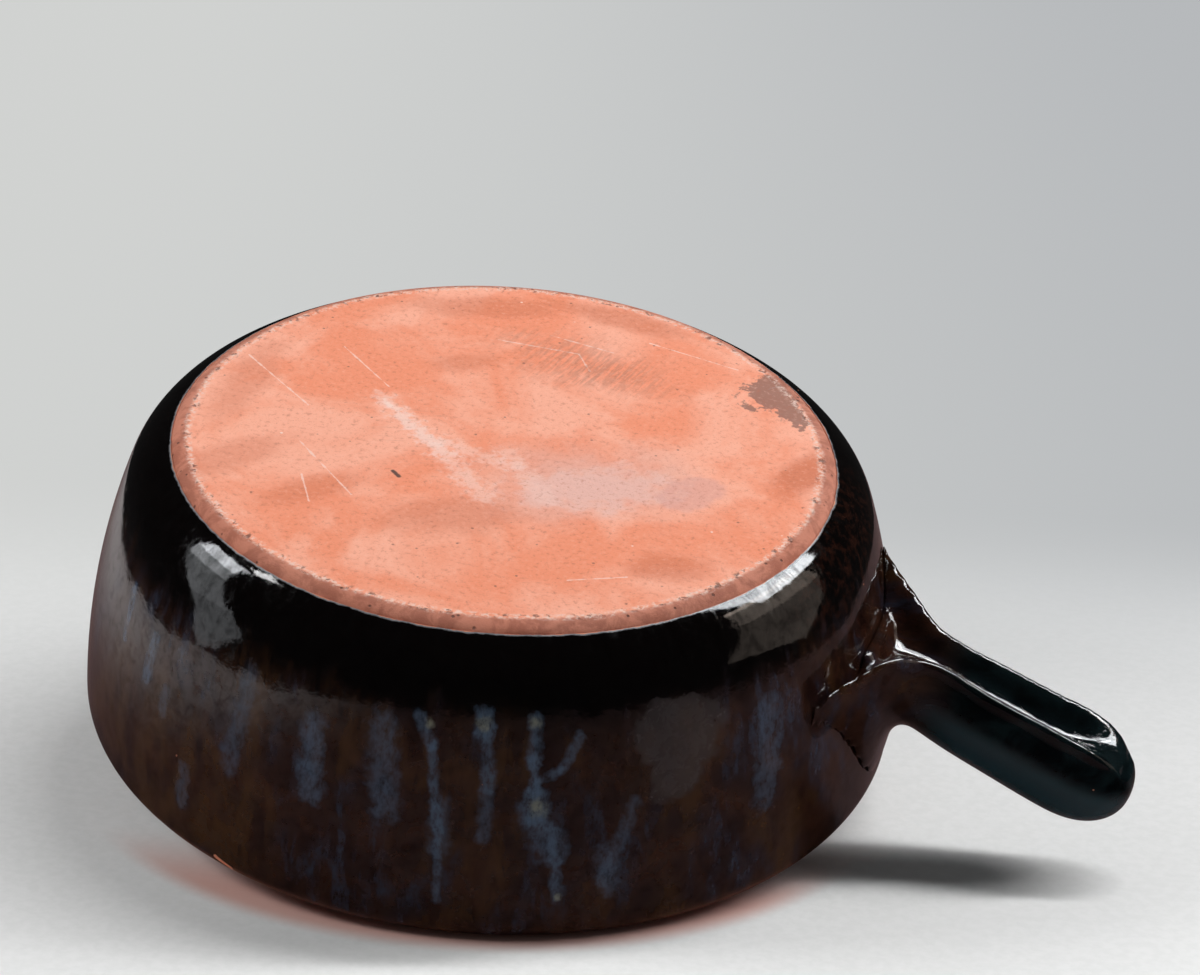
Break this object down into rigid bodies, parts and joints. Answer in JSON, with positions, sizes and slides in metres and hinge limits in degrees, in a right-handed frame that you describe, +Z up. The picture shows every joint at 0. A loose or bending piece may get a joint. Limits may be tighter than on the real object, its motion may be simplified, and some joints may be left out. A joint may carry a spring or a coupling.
{
  "type": "earthenware cooking pot",
  "caption": "Low, round glazed earthenware cooking pot with a bare clay base and a short grooved handle that slants up from its wall.",
  "frame": {"origin": "centre of the flat bare base, in the plane that the pot stands on", "axes": "+Z up along the pot's own axis, +X along the handle, +Y to the side on which the handle's root spreads furthest"},
  "size_m": [0.3035, 0.2308, 0.084],
  "materials": {
    "bare_clay": "matt fired terracotta, scuffed",
    "handle_clay": "matt fired terracotta",
    "dark_glaze": "glossy black glaze, reddish brown where it is thin",
    "inner_glaze": "glossy dark brown glaze"
  },
  "bodies": {
    "root": {"clay_bowl": "bare_clay", "clay_handle": "handle_clay", "luting_coil": "handle_clay", "outer_glaze": "dark_glaze", "inner_glaze": "inner_glaze", "handle_glaze": "dark_glaze"}
  },
  "joints": []
}
